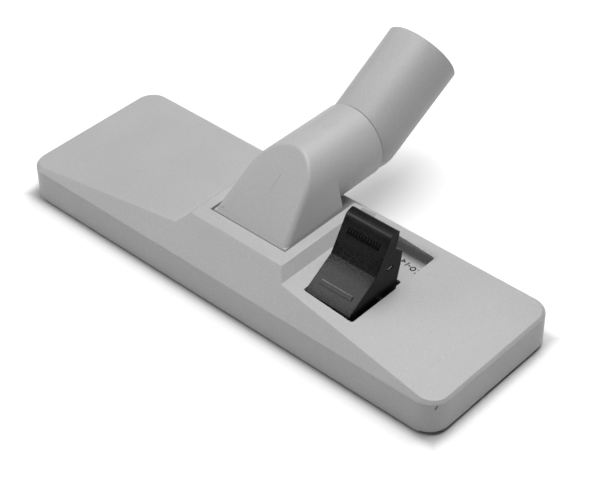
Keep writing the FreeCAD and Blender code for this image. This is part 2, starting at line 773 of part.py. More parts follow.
def swivel_ring():
    centre = ("0", "spigot_start", "collar_height")
    whole = rod("ring_whole", centre, "ring_radius", "ring_width", "y")
    middle = rod("ring_middle", centre, "ring_seat", "ring_width", "y")
    split = box("ring_gap", ("-ring_split / 2", "ring_split / 2"), ("spigot_start", "ring_end"),
                ("collar_height - 1.2 * ring_radius", "collar_height"))
    return less("swivel_ring", whole, [middle, split])


# Sole plate


def sole_form(name, inset, low, high):
    body = new_body(name)
    plan = rounded(body, name + "_plan", (f"-(sole_half - {inset})", f"sole_half - {inset}"),
                   (f"-(sole_front - {inset})", f"sole_back - {inset}"), f"(sole_corner - {inset})", low)
    pad(body, name + "_pad", plan, f"{high} - {low}")
    return body


def air_channel(name, sign, grow, bottom):
    """One side channel from the mouth to the end, lower towards its far end."""
    body = new_body(name)
    top = f"(channel_height + {grow})"
    near, middle, far = (f"{sign} * ({place})" for place in
                         ("duct_half + 0.2", "middle_screw_place", f"channel_end + {grow}"))
    lines = outline(body, name + "_lines", "XZ_Plane", [
        (near, bottom), (far, bottom), (far, f"{top} - channel_fall"), (middle, top), (near, top)],
        f"channel_front + {grow}")
    pad(body, name + "_pad", lines, f"channel_front + channel_back + 2 * ({grow})", back=True)
    return body


def mirrored_pair(sign, near, far):
    """Two places on one side of the middle, the lower one first."""
    pair = (f"{sign} * ({near})", f"{sign} * ({far})")
    return pair if sign > 0 else pair[::-1]


def sole_plate():
    plate = sole_form("plate", "0", "sole_bottom", "sole_top")
    low = "sole_top - 0.2"
    rim = less("rim", sole_form("rim_out", "rim_inset", low, "(sole_top + rim_height)"),
               [sole_form("rim_in", "(rim_inset + rim_width)", "0", "wheel_radius")])
    glide = ("0", "sole_bottom + glide_height")
    added = [plate, rim, box("front_glide", ("-brush_half + 9", "brush_half - 9"),
                             ("-sole_front + 4.8", "-sole_front + 8.8"), glide)]
    cuts = [box("mouth", ("-mouth_half", "mouth_half"), ("-mouth_front", "mouth_back"), ("0", "duct_height"))]
    for side, sign in (("left", -1), ("right", 1)):
        added.append(air_channel(f"channel_{side}", sign, "channel_wall", "sole_bottom"))
        cuts.append(air_channel(f"channel_air_{side}", sign, "0", "0"))
        cuts.append(box(f"mouth_link_{side}", mirrored_pair(sign, "mouth_half - 2", "duct_half + 0.6"),
                        ("-channel_front", "channel_back"), ("0", "sole_top")))
        added.append(box(f"end_glide_{side}", mirrored_pair(sign, "sole_half - 5.6", "sole_half - 1.4"),
                         ("-sole_front + sole_corner + 1", "sole_front - sole_corner - 1"), glide))
        for end in (-1, 1):
            near = f"wheel_place + {end} * (wheel_half + wheel_gap)"
            far = f"wheel_place + {end} * axle_half"
            pair = (near, far) if end > 0 else (far, near)
            added.append(box(f"bracket_{side}_{end + 1}", mirrored_pair(sign, *pair),
                             ("wheel_back - bracket_half", "wheel_back + bracket_half"),
                             (low, "wheel_radius + bracket_top")))
        cuts.append(box(f"wheel_slot_{side}", mirrored_pair(sign, "wheel_place - wheel_half - 1.4",
                                                            "wheel_place + wheel_half + 1.4"),
                        ("wheel_back - wheel_radius + 0.3", "wheel_back + wheel_radius - 0.3"),
                        ("0", "sole_top + 0.5")))
        axle_start = (f"{sign} * wheel_place - axle_half - 1", "wheel_back", "wheel_radius")
        cuts.append(rod(f"axle_bore_{side}", axle_start, "axle_radius + seat_fit", "2 * axle_half + 2", "x"))
    for row in ("front", "rear"):
        place = f"{row}_brush_place"
        cuts.append(box(f"{row}_slot", ("-brush_half - 1", "brush_half + 1"),
                        (f"{place} - brush_slot_half", f"{place} + brush_slot_half"), ("0", "sole_top + 1")))
    for name, (x, y) in strip_places.items():
        cuts.append(box(name + "_seat", x, y, ("0", "sole_bottom + strip_recess")))
    for index, (x, y) in enumerate(screw_places):
        added.append(rod(f"cup_{index}", (x, y, low), "cup_radius", f"boss_bottom - ({low})"))
        cuts.append(rod(f"head_seat_{index}", (x, y, "0"), "screw_head_radius + 0.3", "sole_top - 0.2"))
        cuts.append(rod(f"shank_hole_{index}", (x, y, "0"), "screw_radius + 0.15", "boss_bottom + 1"))
    cuts.append(box("lip_seat", ("-lip_half", "lip_half"), ("-sole_front - 1", "-sole_front + lip_seating"),
                    ("0", "skirt_bottom")))
    bridge = box("mouth_bridge", ("-bridge_width / 2", "bridge_width / 2"),
                 ("-mouth_front - 1", "mouth_back + 1"), ("0", "sole_top"))
    return joined("sole_plate", [less("sole_cut", joined("sole_moulding", added), cuts), bridge])


strip_depths = {
    "front": ("-front_strip_place - strip_width", "-front_strip_place"),
    "rear": ("rear_strip_place", "rear_strip_place + strip_width"),
}
strip_places = {
    f"lint_strip_{row}_{side}": (mirrored_pair(sign, "duct_half + strip_start", "brush_half - 3"), depth)
    for row, depth in strip_depths.items()
    for side, sign in (("left", -1), ("right", 1))
}


def lint_strip(name):
    x, y = strip_places[name]
    return box(name, x, y, ("strip_bottom", "sole_bottom + strip_recess"))


def front_lip():
    back = "-sole_front + lip_seating"
    return box("front_lip", ("-lip_half", "lip_half"), (f"{back} - lip_width", back),
               ("lip_bottom", "skirt_bottom"))


def sole_screws():
    pieces = []
    for index, (x, y) in enumerate(screw_places):
        pieces.append(rod(f"screw_head_{index}", (x, y, "sole_top - 0.2 - screw_head_height"),
                          "screw_head_radius", "screw_head_height"))
        pieces.append(rod(f"screw_shank_{index}", (x, y, "sole_top - 0.4"), "screw_radius", "screw_length"))
    return joined("sole_screws", pieces)


# Duct and bearings


def suction_duct():
    block = box("duct_block", ("-duct_half", "duct_half"), ("-duct_front", "duct_back"),
                ("sole_top", "duct_height"))
    seat_half = "(neck_half + drum_gap)"
    seat = rod("drum_seat", (f"-{seat_half}", "0", "tilt_height"), "drum_radius + drum_gap",
               f"2 * {seat_half}", "x")
    way = box("duct_way", ("-mouth_half", "mouth_half"), ("-mouth_front", "mouth_back"),
              ("0", "duct_throat"))
    side_way = box("duct_side_way", ("-duct_half - 1", "duct_half + 1"),
                   ("-channel_front", "channel_back"), ("0", "channel_height"))
    return less("suction_duct", block, [seat, way, side_way])


def neck_bearing(side, sign):
    block = box(f"bearing_block_{side}", mirrored_pair(sign, "bearing_start", "bearing_end"),
                ("-bearing_half", "bearing_half - 1"), ("channel_height + channel_wall", "tilt_height - 0.2"))
    low = mirrored_pair(sign, "bearing_start", "bearing_end")[0]
    bore = rod(f"bearing_bore_{side}", (f"{low} - 1", "0", "tilt_height"), "trunnion_radius + running_fit",
               "bearing_width + 2", "x")
    return less(f"neck_bearing_{side}", block, [bore])


# Pedal


def edge_across(out, up):
    """A choice of the one edge that runs along X through a place of the profile."""
    place = (measure(out), measure(up))

    def chosen(places):
        return all(abs(at.y - place[0]) + abs(at.z - place[1]) < 0.01 for at in places)
    return chosen


def rocker_pedal():
    body = new_body("pedal_block")
    lines = outline(body, "pedal_profile", "YZ_Plane", [
        ("-tread_front_out", "tread_front_up - tread_nose"), ("-tread_front_out", "tread_front_up"),
        ("-crease_out", "crease_up"), ("grip_front", "grip_up - grip_drop"), ("grip_crown", "grip_up"),
        ("grip_back", "grip_up - grip_drop"), ("grip_back - 1", "grip_up - grip_depth"),
        ("waist_back", "waist_up"), ("heel_back", "heel_up"), ("heel_back - 1.2", "heel_up - heel_depth"),
        ("shin_back", "shin_up"), ("pedal_foot", "pedal_bottom"), ("-14", "pedal_bottom"),
        ("-20", "pivot_height")], "pedal_middle")
    pad(body, "pedal_pad", lines, "pedal_width", middle=True)
    softened = body
    for name, out, up, radius in (("crease", "-crease_out", "crease_up", "crease_rounding"),
                                  ("brow", "grip_front", "grip_up - grip_drop", "brow_rounding"),
                                  ("crown", "grip_crown", "grip_up", "grip_rounding"),
                                  ("grip", "grip_back", "grip_up - grip_drop", "grip_rounding")):
        softened = rounded_edges("pedal_softened_" + name, softened, edge_across(out, up), radius)
    hollow = new_body("pedal_hollow")
    rim = "pedal_wall"
    inside = outline(hollow, "pedal_hollow_lines", "YZ_Plane", [
        (f"-tread_front_out + {rim}", "tread_front_up - tread_nose - 3.4"),
        (f"-tread_front_out + {rim}", f"tread_front_up + {rim} * (tread_slope - tread_long)"),
        (f"-crease_out + {rim} * 0.6", f"crease_up - {rim}"),
        (f"grip_front + {rim} * 0.8", f"grip_up - grip_drop - {rim} * 1.3"),
        (f"grip_back - {rim} * 1.7", f"grip_up - grip_depth + {rim} * 0.1"),
        (f"waist_back - {rim} * 1.1", f"waist_up - {rim} * 0.7"),
        (f"heel_back - {rim} * 1.2", f"heel_up - {rim} * 0.9"),
        (f"heel_back - 1.2 - {rim}", f"heel_up - heel_depth + {rim} * 0.1"),
        (f"shin_back - {rim}", "shin_up"), (f"pedal_foot - {rim}", "pedal_bottom - 3.2"),
        ("-pivot_height", "pedal_bottom - 3.2")], "pedal_middle")
    pad(hollow, "pedal_hollow_pad", inside, f"pedal_width - 2 * {rim}", middle=True)
    lug = new_body("pedal_lug")
    lug_lines = outline(lug, "pedal_lug_lines", "YZ_Plane", [
        ("1.5", "pivot_height - 4"), ("1.5", "pivot_height + 4"), ("6", "pivot_height + 5"),
        ("9.4", "pivot_height + 2"), ("12", "beam_bottom + 0.8"), ("8.6", "beam_bottom + 0.8")],
        "pedal_middle")
    rib_half = "(pedal_width / 2 - rib_inset)"
    pad(lug, "pedal_lug_pad", lug_lines, f"2 * {rib_half}", middle=True)
    ribs = []
    for index, place in enumerate((f"pedal_middle - {rib_half}", f"pedal_middle + {rib_half} - rib_width")):
        rib = box(f"pedal_rib_{index}", (place, f"{place} + rib_width"),
                  ("-tread_front_out + 2.4", "shin_back + 1"), ("pivot_height - 4", "grip_up - 3.4"))
        ribs.append(shared(f"pedal_rib_in_{index}", [rib, body]))
    bore = rod("pedal_bore", ("pedal_middle - pedal_width", "-pivot_out", "pivot_height"),
               "pin_radius + running_fit", "2 * pedal_width", "x")
    slot = box("spring_slot", (f"pedal_right - {rim} - 0.5", "pedal_right + 1"), ("-3.4", "1.4"),
               ("spring_height - wire_radius - 0.2", "spring_height + wire_radius + 0.2"))
    bar = box("tread_bar", ("pedal_middle - bar_half", "pedal_middle + bar_half"), ("0", "bar_width"),
              ("-bar_recess", "bar_rise"))
    tilt = math.degrees(math.atan(measure("tread_slope")))
    bar.Placement.Rotation = FreeCAD.Rotation(FreeCAD.Vector(1, 0, 0), tilt)
    set_place(bar, "pedal_middle - bar_half",
              "-tread_front_out + (bar_start + bar_recess * tread_slope) / tread_long",
              "tread_front_up + (bar_start * tread_slope - bar_recess) / tread_long")
    shell = less("pedal_shell", softened, [hollow])
    return less("rocker_pedal", joined("pedal_moulding", [shell, lug, bar] + ribs), [bore, slot])


def pedal_pin():
    return rod("pedal_pin", ("well_left - well_wall", "-pivot_out", "pivot_height"), "pin_radius",
               "well_span", "x")


def toggle_spring():
    """A wire hooked in the slot of the pedal's side, with one coil round the pin."""
    hook = rod("spring_hook", ("pedal_right - 1", "-2.8", "spring_height"), "wire_radius", "3.6", "y")
    across = rod("spring_across", ("spring_middle", "-1.8", "spring_height"), "wire_radius",
                 "spring_inset - 0.6", "x")
    leg = rod("spring_leg", ("spring_middle", "-1.9", "pivot_height - 0.6"), "wire_radius",
              "spring_height - pivot_height + 1.1")
    centre = ("spring_middle - coil_width / 2", "-pivot_out", "pivot_height")
    coil = less("spring_coil", rod("coil_outside", centre, "coil_radius + wire_radius", "coil_width", "x"),
                [rod("coil_inside", centre, "coil_radius - wire_radius", "coil_width", "x")])
    return joined("toggle_spring", [hook, across, leg, coil])


# Bristle carriage


def brush_carriage():
    pieces = []
    places = ("-pedal_middle - far_beam", "-pedal_middle + near_beam", "pedal_middle - near_beam",
              "pedal_middle + far_beam")
    for row in ("front", "rear"):
        depth = (f"{row}_brush_place - brush_bar_half", f"{row}_brush_place + brush_bar_half")
        pieces.append(box(f"{row}_bar", ("-brush_half", "brush_half"), depth,
                          ("bar_bottom", "bar_bottom + bar_height")))
        for index, place in enumerate(places):
            pieces.append(box(f"{row}_post_{index}", (f"{place} - beam_half", f"{place} + beam_half"), depth,
                              ("bar_bottom", "beam_bottom + 1")))
    for index, place in enumerate(places):
        pieces.append(box(f"beam_{index}", (f"{place} - beam_half", f"{place} + beam_half"),
                          ("front_brush_place - brush_bar_half", "rear_brush_place + brush_bar_half"),
                          ("beam_bottom", "beam_bottom + beam_height")))
    pieces.append(box("pedal_bar", places[2:], ("follower_start", "follower_start + follower_width"),
                      ("beam_bottom - 2.5", "beam_bottom + 0.5")))
    return joined("brush_carriage", pieces)


def bristles(row):
    place = row + "_brush_place"
    return box(row + "_bristles", ("-brush_half + 1", "brush_half - 1"),
               (f"{place} - bristle_width / 2", f"{place} + bristle_width / 2"),
               ("bristle_bottom", "bar_bottom"))


# Wheels


def rear_wheel(side, sign):
    body = new_body("rear_wheel_" + side)
    left, right = f"{sign} * wheel_place - wheel_half", f"{sign} * wheel_place + wheel_half"
    bore = "axle_radius + running_fit"
    lines = outline(body, f"wheel_{side}_section", "XZ_Plane", [
        (left, bore), (right, bore), (right, "wheel_radius - 1.4"), (f"{right} - 1.4", "wheel_radius"),
        (f"{left} + 1.4", "wheel_radius"), (left, "wheel_radius - 1.4")])
    turned = feature_of(body, "Revolution", f"wheel_{side}_turned", lines)
    turned.ReferenceAxis = (lines, ["H_Axis"])
    turned.Angle = 360
    set_place(body, "0", "wheel_back", "wheel_radius")
    return body


def wheel_axle(side, sign):
    return rod("wheel_axle_" + side, (f"{sign} * wheel_place - axle_half", "wheel_back", "wheel_radius"),
               "axle_radius", "2 * axle_half", "x")


nodes = [
    upper_housing(), sole_plate(), suction_duct(), neck_bearing("left", -1), neck_bearing("right", 1),
    neck_body(), swivel_tube(), swivel_ring(), rocker_pedal(), pedal_pin(), toggle_spring(),
    brush_carriage(), bristles("front"), bristles("rear"), front_lip(), sole_screws(),
    rear_wheel("left", -1), rear_wheel("right", 1), wheel_axle("left", -1), wheel_axle("right", 1),
]
nodes += [lint_strip(name) for name in strip_places]
doc.recompute()

for piece in doc.Objects:
    if "Invalid" in piece.State or "Error" in piece.State:
        raise ValueError(f"{piece.Name} has the state {piece.State}")
for node in nodes:
    shape = node.Shape
    if shape.isNull() or not shape.isValid() or shape.Volume <= 0:
        raise ValueError(f"{node.Label} has no sound solid")
    shape.exportStep(f"parts/{node.Label}.step")
    bounds = shape.BoundBox
    print(f"{node.Label}: {len(shape.Solids)} solids, {shape.Volume:.0f} mm3, "
          f"x {bounds.XMin:.1f}..{bounds.XMax:.1f} y {bounds.YMin:.1f}..{bounds.YMax:.1f} "
          f"z {bounds.ZMin:.1f}..{bounds.ZMax:.1f}")
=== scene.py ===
# %% [markdown]
# # A vacuum floor head
#
# This lesson dresses a floor head: the wide, low brush head that sits at the end of a vacuum
# cleaner's tube. Its shape comes from a CAD model, which is loaded as a fixed frame, so no
# measure has to be guessed here. What this script adds is the finish of each material, the
# soft and hairy pieces that CAD leaves plain, and a plain studio to look at it in.
# One Blender unit is one metre. X runs along the head, +Y points to the back, where the tube
# leaves, and the floor is at Z = 0. Sizes and places are written in millimetres and multiplied
# by MM where Blender gets them.

# %% Load the frame
import math
import random

import bmesh
import bpy
from mathutils import Matrix, Vector


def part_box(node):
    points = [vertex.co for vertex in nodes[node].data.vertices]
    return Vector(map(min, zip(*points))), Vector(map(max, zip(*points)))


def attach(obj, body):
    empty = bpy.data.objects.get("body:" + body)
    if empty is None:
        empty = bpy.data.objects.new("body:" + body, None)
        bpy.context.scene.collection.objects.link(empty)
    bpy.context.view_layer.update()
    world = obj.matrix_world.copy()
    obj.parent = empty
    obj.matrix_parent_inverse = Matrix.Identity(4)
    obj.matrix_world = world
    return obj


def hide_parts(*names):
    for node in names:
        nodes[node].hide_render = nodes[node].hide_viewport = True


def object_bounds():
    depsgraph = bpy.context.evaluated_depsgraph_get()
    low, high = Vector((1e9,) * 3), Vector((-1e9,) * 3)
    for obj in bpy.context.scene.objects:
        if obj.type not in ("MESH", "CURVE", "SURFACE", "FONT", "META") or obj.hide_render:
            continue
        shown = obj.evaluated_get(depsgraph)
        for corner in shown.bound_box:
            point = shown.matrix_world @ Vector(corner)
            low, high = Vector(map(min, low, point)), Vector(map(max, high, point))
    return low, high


MM = 0.001
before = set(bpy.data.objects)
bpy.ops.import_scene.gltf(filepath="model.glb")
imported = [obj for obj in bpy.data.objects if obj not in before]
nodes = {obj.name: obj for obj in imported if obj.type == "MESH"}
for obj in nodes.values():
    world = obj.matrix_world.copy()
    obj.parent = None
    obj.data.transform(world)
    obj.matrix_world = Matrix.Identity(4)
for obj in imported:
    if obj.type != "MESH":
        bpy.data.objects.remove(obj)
cad_box = [list(corner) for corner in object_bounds()]
print("pieces in the frame:", len(nodes))
print("size in mm:", [round((high - low) / MM, 1) for low, high in zip(*cad_box)])

# %% [markdown]
# ## Nodes for materials
#
# A material in Blender is a small network of nodes that ends in a shader. Building it takes many
# short steps that are always the same, so they get helpers first: one that makes a node with its
# settings, and a few that read a noise, stretch it to a range, or mix two colours by it.

# %% Shaders and nodes
MIDDLE_OF_NOISE = (0.35, 0.65)
MOST_OF_NOISE = (0.3, 0.7)


def shader(name, roughness, specular=0.5):
    """A new material, its node tree and its shader."""
    material = bpy.data.materials.new(name)
    material.use_nodes = True
    surface = material.node_tree.nodes["Principled BSDF"]
    surface.inputs["Roughness"].default_value = roughness
    surface.inputs["Specular IOR Level"].default_value = specular
    return material, material.node_tree, surface


def node(tree, kind, **settings):
    """One node with its settings; names of inputs are given with spaces as underscores."""
    made = tree.nodes.new(kind)
    for key, value in settings.items():
        if hasattr(made, key):
            setattr(made, key, value)
        else:
            made.inputs[key.replace("_", " ")].default_value = value
    return made


def object_place(tree):
    """The place on the piece, in its own coordinates, which a pattern follows."""
    return node(tree, "ShaderNodeTexCoord").outputs["Object"]


def noise(tree, scale, detail, place):
    """A noise pattern that a larger scale makes finer, read at a place."""
    pattern = node(tree, "ShaderNodeTexNoise", Scale=scale, Detail=detail)
    tree.links.new(place, pattern.inputs["Vector"])
    return pattern.outputs["Fac"]


# %% Ranges and mixtures
def grey(level):
    """A neutral grey of one brightness."""
    return (level, level, level, 1.0)


def between(tree, factor, low, high, start=0.0, end=1.0):
    """A number from low to high, as the factor goes from start to end."""
    ramp = node(tree, "ShaderNodeMapRange")
    ramp.inputs["From Min"].default_value = start
    ramp.inputs["From Max"].default_value = end
    ramp.inputs["To Min"].default_value = low
    ramp.inputs["To Max"].default_value = high
    tree.links.new(factor, ramp.inputs["Value"])
    return ramp.outputs["Result"]


def mixed(tree, factor, first, second, blend="MIX"):
    """Two colours mixed; each value is a plain one or another node's output."""
    blender = node(tree, "ShaderNodeMix", data_type="RGBA", blend_type=blend)
    for name, value in (("Factor", factor), ("A", first), ("B", second)):
        socket = [found for found in blender.inputs if found.name == name and found.enabled][0]
        if isinstance(value, (tuple, float)):
            socket.default_value = value
        else:
            tree.links.new(value, socket)
    return [found for found in blender.outputs if found.enabled][0]


def multiplied(tree, first, second):
    """The product of two masks."""
    product = node(tree, "ShaderNodeMath", operation="MULTIPLY")
    tree.links.new(first, product.inputs[0])
    tree.links.new(second, product.inputs[1])
    return product.outputs[0]


def scaled(tree, colour, ratio):
    """A colour made lighter or darker by a ratio, with its grain kept."""
    product = node(tree, "ShaderNodeVectorMath", operation="SCALE")
    tree.links.new(colour, product.inputs[0])
    product.inputs["Scale"].default_value = ratio
    return product.outputs[0]


# %% [markdown]
# ## Masks for marks
#
# A used head has marks: a nick, a scratch, a speck, dust on the pedal's treads. Some masks carry
# painted light instead: painted shade in a corner of the pocket, and a painted highlight and
# painted sheen on the pedal. Each is painted through a mask, a number that is 1 on the mark and 0
# away from it. The mask comes from the distance to a straight stroke between two points, and a
# noise makes the stroke's width ragged, as a real mark is. A second kind of mask keeps to a strip
# of one axis: it makes the painted shade in the gap where the tube leaves the collar, and keeps
# the dust, painted sheen and painted highlight of the treads off the pedal's sides.

# %% Masks
RAGGED_SCALE = 2500
RAGGED_WIDTHS = (0.6, 1.4)
MARK_FADES_FROM = 0.4
SMALLEST_SQUARE = 1e-12


def distance_to_stroke(tree, place, start, end):
    """The distance to the straight stroke from start to end, both in millimetres."""
    first, last = Vector(start) * MM, Vector(end) * MM
    along = last - first
    offset = node(tree, "ShaderNodeVectorMath", operation="SUBTRACT")
    offset.inputs[1].default_value = first
    tree.links.new(place, offset.inputs[0])
    reach = node(tree, "ShaderNodeVectorMath", operation="DOT_PRODUCT")
    reach.inputs[1].default_value = along / max(along.length_squared, SMALLEST_SQUARE)
    tree.links.new(offset.outputs[0], reach.inputs[0])
    held = node(tree, "ShaderNodeClamp")
    tree.links.new(reach.outputs["Value"], held.inputs["Value"])
    nearest = node(tree, "ShaderNodeVectorMath", operation="SCALE")
    nearest.inputs[0].default_value = along
    tree.links.new(held.outputs[0], nearest.inputs["Scale"])
    away = node(tree, "ShaderNodeVectorMath", operation="DISTANCE")
    tree.links.new(offset.outputs[0], away.inputs[0])
    tree.links.new(nearest.outputs[0], away.inputs[1])
    return away.outputs["Value"]


def mark(tree, place, start, end, width):
    """A mask that is 1 along a stroke and fades out within its ragged width, in millimetres."""
    narrow, wide = [share * width * MM for share in RAGGED_WIDTHS]
    ragged = between(tree, noise(tree, RAGGED_SCALE, 2, place), narrow, wide, *MIDDLE_OF_NOISE)
    share = node(tree, "ShaderNodeMath", operation="DIVIDE")
    tree.links.new(distance_to_stroke(tree, place, start, end), share.inputs[0])
    tree.links.new(ragged, share.inputs[1])
    return between(tree, share.outputs[0], 1.0, 0.0, MARK_FADES_FROM, 1.0)


def away_from(tree, place, axis, middle):
    """The distance along one axis from a middle in millimetres."""
    parts = node(tree, "ShaderNodeSeparateXYZ")
    tree.links.new(place, parts.inputs[0])
    offset = node(tree, "ShaderNodeMath", operation="SUBTRACT")
    tree.links.new(parts.outputs[axis], offset.inputs[0])
    offset.inputs[1].default_value = middle * MM
    away = node(tree, "ShaderNodeMath", operation="ABSOLUTE")
    tree.links.new(offset.outputs[0], away.inputs[0])
    return away.outputs[0]


def strip(tree, place, axis, middle, half, fade=0.4):
    """A mask that is 1 within half of the middle along an axis and fades at its edge."""
    away = away_from(tree, place, axis, middle)
    return between(tree, away, 1.0, 0.0, (half - fade) * MM, half * MM)


# %% [markdown]
# ## A finish for moulded plastic
#
# The housing, the neck and the tube are moulded in a matt grey plastic. Three things make such
# a surface look real. Its colour is nearly even but never quite, so a large, faint noise makes it
# drift. The steel mould was roughened by sparks, so a very fine noise gives it grain, both in
# colour and as a bump. And handling polishes it a little here and there, so its roughness
# wanders too. A mark makes the colour lighter or darker by a ratio, so the grain shows through
# it. A place that shoes or hands rub gets a clear coat instead, since polish doesn't change the
# colour. All patterns read Object coordinates, so they stay in place when the piece moves.

# %% Moulded plastic
CLOUD_SCALE = 14
WANDER_SCALE = 60
SMOOTHER, ROUGHER = 0.06, 0.08
EVERYWHERE = (0.0, 1000.0)
# How dark the painted shade in the gap under the collar's rim is.
GAP_SHADE_RATIO = 0.16
RUBBED_COAT = 0.9
RUBBED_IOR = 1.7


def moulded_colour(tree, place, speck, level, drift, fleck):
    """A grey that drifts slowly over the piece and is flecked by the grain."""
    cloud = between(tree, noise(tree, CLOUD_SCALE, 3, place), 0, 1, *MIDDLE_OF_NOISE)
    drifting = mixed(tree, cloud, grey(level * (1 - drift)), grey(level * (1 + drift)))
    flecked = between(tree, speck, 1 - fleck, 1 + fleck, *MOST_OF_NOISE)
    return mixed(tree, 1.0, drifting, flecked, "MULTIPLY")


def polish(tree, surface, place, allowed, rubs, roughness):
    """A clear coat over two places that are rubbed to a shine."""
    shine = node(tree, "ShaderNodeMath", operation="ADD", use_clamp=True)
    for rub, socket in zip(rubs, shine.inputs):
        tree.links.new(multiplied(tree, allowed, mark(tree, place, *rub)), socket)
    coat = between(tree, shine.outputs[0], 0.0, RUBBED_COAT)
    tree.links.new(coat, surface.inputs["Coat Weight"])
    surface.inputs["Coat Roughness"].default_value = roughness
    surface.inputs["Coat IOR"].default_value = RUBBED_IOR


def moulded(name, level, roughness=0.45, specular=0.5, grain=1500, depth=0.03, drift=0.03,
            fleck=0.07, marks=(), rubs=(), face=EVERYWHERE, gap_shade=()):
    """Moulded plastic with its marks; the depth of its grain is in millimetres."""
    material, tree, surface = shader(name, roughness, specular)
    place = object_place(tree)
    speck = noise(tree, grain, 2, place)
    colour = moulded_colour(tree, place, speck, level, drift, fleck)
    allowed = strip(tree, place, "X", *face)
    # Painted shade: a darker band along Y, for the gap under the collar's rim.
    if gap_shade:
        line = strip(tree, place, "Y", *gap_shade)
        colour = mixed(tree, line, colour, scaled(tree, colour, GAP_SHADE_RATIO))
    for start, end, width, ratio in marks:
        mask = multiplied(tree, allowed, mark(tree, place, start, end, width))
        colour = mixed(tree, mask, colour, scaled(tree, colour, ratio))
    tree.links.new(colour, surface.inputs["Base Color"])
    wander = between(tree, noise(tree, WANDER_SCALE, 5, place),
                     roughness - SMOOTHER, roughness + ROUGHER, *MOST_OF_NOISE)
    tree.links.new(wander, surface.inputs["Roughness"])
    if rubs:
        polish(tree, surface, place, allowed, rubs, roughness)
    bump = node(tree, "ShaderNodeBump", Strength=0.6, Distance=depth * MM)
    tree.links.new(speck, bump.inputs["Height"])
    tree.links.new(bump.outputs["Normal"], surface.inputs["Normal"])
    return material


def paint(material, *names):
    """Gives CAD nodes a finish in place of their plain one."""
    for name in names:
        for slot in nodes[name].material_slots:
            slot.material = material
    print(material.name, "->", ", ".join(names))


# %% [markdown]
# ## The grey pieces
#
# Each mark is written as the two ends of its stroke, its width, and how light it is beside the
# plain plastic. The housing has a dark nick on its near corner, a speck and a scuff on the left
# wing, and painted shade on the far wall of the pocket, behind the pedal. The neck's facet has a
# scratch and a dent. The tube's gap shade is painted shade: a dark band where the tube leaves the
# collar, under the collar's rim. It is given by its middle, half its width and its fading edge,
# along Y.

# %% The grey pieces
corner_nick = ((142.74, -43.42, 19.5), (142.22, -44.09, 17.6), 0.6, 0.2)
wing_speck = ((-38.9, 8.3, 29.9), (-38.9, 8.3, 29.9), 0.7, 0.55)
wing_scuff = ((-92.0, -18.0, 26.0), (-84.0, -14.0, 26.6), 0.35, 0.9)
# Painted shade on the pocket's far wall, behind the pedal.
pocket_painted_shade = ((50.0, 33.0, 23.2), (78.0, 33.0, 23.2), 5.0, 0.4)
facet_scratch = ((-0.2, -3.6, 51.9), (0.8, 3.0, 58.2), 0.4, 0.8)
facet_dent = ((-21.9, -18.6, 37.6), (-20.9, -18.3, 37.9), 0.6, 0.7)
# Painted shade on the tube, in the gap under the collar's rim.
collar_gap_shade = (60.5, 1.8, 0.9)
housing_finish = moulded("housing_plastic_finish", 0.52, roughness=0.34,
                         marks=(corner_nick, wing_speck, wing_scuff, pocket_painted_shade))
neck_finish = moulded("neck_plastic_finish", 0.52, roughness=0.38, drift=0.04,
                      marks=(facet_scratch, facet_dent))
tube_finish = moulded("tube_plastic_finish", 0.50, roughness=0.4, gap_shade=collar_gap_shade)
paint(housing_finish, "upper_housing")
paint(neck_finish, "neck_body")
paint(tube_finish, "swivel_tube")

# %% [markdown]
# ## The dark pieces
#
# The rocker pedal is a near-black plastic with a coarser fleck. Feet leave fine dust on both of
# its treads; the lower one is painted lighter still, as dust and painted sheen. A painted
# highlight runs along the low bar across the lower tread. Feet polish the lower tread and the
# brow at the top of the upper one. The sole plate and the hidden carriers are dark too, and the
# rubber of the wheels is black and dull.

# %% The pedal
# Dust and painted sheen: the lower tread is made lighter than the upper one.
tread_dust_and_sheen = ((53.0, -22.5, 34.3), (73.0, -22.5, 34.3), 15.0, 4.0)
upper_dust = ((54.0, -5.0, 51.5), (72.0, -5.0, 51.5), 10.5, 2.8)
# Painted highlight: a bright line along the low bar of the lower tread.
bar_painted_highlight = ((53.2, -23.5, 34.2), (72.8, -23.5, 34.2), 0.42, 8.0)
tread_rub = ((54.0, -22.0, 34.6), (72.0, -22.0, 34.6), 17.0)
brow_rub = ((48.0, -0.4, 59.9), (78.0, -0.4, 59.9), 2.2)
PEDAL_MIDDLE = 63.0
TREAD_HALF = 14.75
pedal_finish = moulded("pedal_plastic_finish", 0.009, roughness=0.3, specular=0.14, grain=1100,
                       drift=0.08, fleck=0.35, marks=(tread_dust_and_sheen, upper_dust, bar_painted_highlight),
                       rubs=(tread_rub, brow_rub), face=(PEDAL_MIDDLE, TREAD_HALF))
paint(pedal_finish, "rocker_pedal")

# %% The sole, the carriers and the wheels
sole_finish = moulded("sole_plastic_finish", 0.055, roughness=0.5)
inner_finish = moulded("inner_plastic_finish", 0.09, roughness=0.5)
rubber_finish = moulded("black_rubber_finish", 0.035, roughness=0.75, grain=2500, depth=0.02)
paint(sole_finish, "sole_plate")
paint(inner_finish, "suction_duct", "neck_bearing_left", "neck_bearing_right", "swivel_ring",
      "brush_carriage")
paint(rubber_finish, "rear_wheel_left", "rear_wheel_right")

# %% [markdown]
# ## Steel
#
# The pin, the axles, the screws and the spring are drawn steel: a metal shader, bright and
# fairly smooth. One noise makes small patches both darker and rougher, as a thin film of oil
# and dirt does.

# %% Steel
PATCH_SCALE = 700
PATCH_DARKER = 0.8
PATCH_ROUGHER = 0.1


